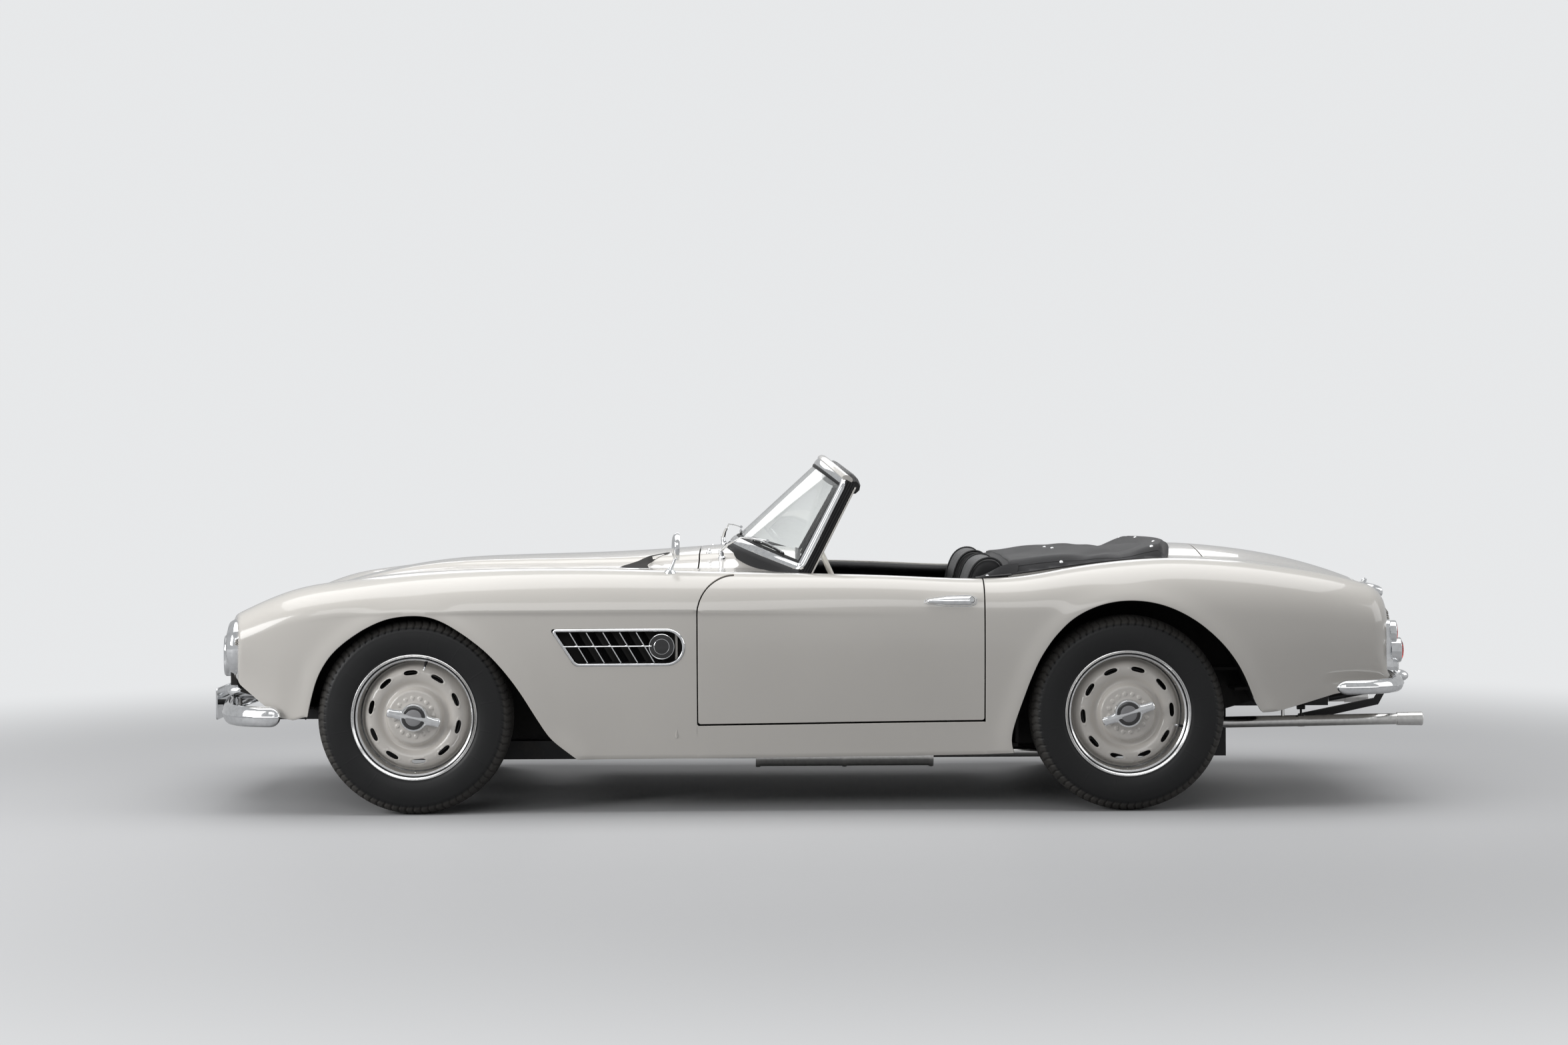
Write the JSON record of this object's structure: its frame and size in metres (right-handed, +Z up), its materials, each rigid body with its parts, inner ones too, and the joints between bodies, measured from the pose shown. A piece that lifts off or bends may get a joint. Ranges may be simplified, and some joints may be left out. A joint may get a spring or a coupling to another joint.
{
  "type": "two-seat roadster car",
  "caption": "Open two-seat roadster with long bonnet, opening doors, bonnet and boot lid, steered front wheels and rolling wheels.",
  "frame": {"origin": "on the ground under the middle of the overall box", "axes": "+X towards the tail, +Y towards the right-hand side of the car, +Z up"},
  "size_m": [4.372, 1.652, 1.236],
  "materials": {
    "ivory_paint": "gloss",
    "tyre_rubber": "matt",
    "wheel_paint": "gloss",
    "black_steel": "satin",
    "cast_alloy": "cast",
    "dash_paint": "gloss",
    "ivory_plastic": "gloss",
    "black_leather": "satin",
    "black_cloth": "matt",
    "clear_glass": "clear",
    "lamp_glass": "fluted",
    "red_lens": "gloss",
    "blank_plate": "gloss",
    "exhaust_steel": "satin",
    "chrome": "polished"
  },
  "bodies": {
    "body": {"cabin_tub": "ivory_paint", "chassis_frame": "black_steel", "dashboard": "dash_paint", "engine_block": "cast_alloy", "exhaust_left": "exhaust_steel", "exhaust_right": "exhaust_steel", "fender_mirror": "chrome", "front_body": "ivory_paint", "front_bumper": "chrome", "front_plate": "blank_plate", "front_suspension": "black_steel", "grille_left": "chrome", "grille_right": "chrome", "headlamp_left": "lamp_glass", "headlamp_right": "lamp_glass", "rear_axle": "black_steel", "rear_body": "ivory_paint", "rear_bumper": "chrome", "rear_plate": "blank_plate", "seat_left": "black_leather", "seat_right": "black_leather", "side_vent_left": "chrome", "side_vent_right": "chrome", "steering_column": "black_steel", "tail_lamp_left": "red_lens", "tail_lamp_right": "red_lens", "tonneau_cover": "black_cloth", "windscreen_frame": "chrome", "windscreen_glass": "clear_glass", "wipers": "chrome"},
    "door_left": {"door_left": "ivory_paint"},
    "door_right": {"door_right": "ivory_paint"},
    "bonnet": {"bonnet": "ivory_paint"},
    "boot_lid": {"boot_lid": "ivory_paint"},
    "steering_wheel": {"steering_wheel": "ivory_plastic"},
    "knuckle_left": {"knuckle_left": "black_steel"},
    "knuckle_right": {"knuckle_right": "black_steel"},
    "wheel_front_left": {"wheel_front_left": "wheel_paint", "tyre_front_left": "tyre_rubber"},
    "wheel_front_right": {"wheel_front_right": "wheel_paint", "tyre_front_right": "tyre_rubber"},
    "wheel_rear_left": {"wheel_rear_left": "wheel_paint", "tyre_rear_left": "tyre_rubber"},
    "wheel_rear_right": {"wheel_rear_right": "wheel_paint", "tyre_rear_right": "tyre_rubber"}
  },
  "joints": [
    {"name": "steer_left", "type": "hinge", "parent": "body", "child": "knuckle_left", "pos_m": [-1.388, -0.612, 0.34], "axis": [0, 0, 1], "range_deg": [-33, 33]},
    {"name": "steer_right", "type": "hinge", "parent": "body", "child": "knuckle_right", "pos_m": [-1.388, 0.612, 0.34], "axis": [0, 0, 1], "range_deg": [-33, 33]},
    {"name": "steering_wheel_turn", "type": "hinge", "parent": "body", "child": "steering_wheel", "pos_m": [0.112, -0.37, 0.718], "axis": [0.9135, 0, 0.4067], "range_deg": [-528, 528]},
    {"name": "wheel_front_left_spin", "type": "hinge", "parent": "knuckle_left", "child": "wheel_front_left", "pos_m": [-1.388, -0.7225, 0.34], "axis": [0, 1, 0], "continuous": true},
    {"name": "wheel_rear_left_spin", "type": "hinge", "parent": "body", "child": "wheel_rear_left", "pos_m": [1.092, -0.7125, 0.34], "axis": [0, 1, 0], "continuous": true},
    {"name": "door_left_hinge", "type": "hinge", "parent": "body", "child": "door_left", "pos_m": [-0.454, -0.776, 0.5], "axis": [0, 0, -1], "range_deg": [0, 65]},
    {"name": "wheel_front_right_spin", "type": "hinge", "parent": "knuckle_right", "child": "wheel_front_right", "pos_m": [-1.388, 0.7225, 0.34], "axis": [0, 1, 0], "continuous": true},
    {"name": "wheel_rear_right_spin", "type": "hinge", "parent": "body", "child": "wheel_rear_right", "pos_m": [1.092, 0.7125, 0.34], "axis": [0, 1, 0], "continuous": true},
    {"name": "door_right_hinge", "type": "hinge", "parent": "body", "child": "door_right", "pos_m": [-0.454, 0.776, 0.5], "axis": [0, 0, 1], "range_deg": [0, 65]},
    {"name": "bonnet_hinge", "type": "hinge", "parent": "body", "child": "bonnet", "pos_m": [-0.413, 0, 0.9025], "axis": [0, 1, 0], "range_deg": [0, 50]},
    {"name": "boot_hinge", "type": "hinge", "parent": "body", "child": "boot_lid", "pos_m": [1.415, 0, 0.89848], "axis": [0, -1, 0], "range_deg": [0, 60]}
  ],
  "couplings": [
    {"joint": "steer_right", "follows": "steer_left", "ratio": 1},
    {"joint": "steering_wheel_turn", "follows": "steer_left", "ratio": 16}
  ]
}
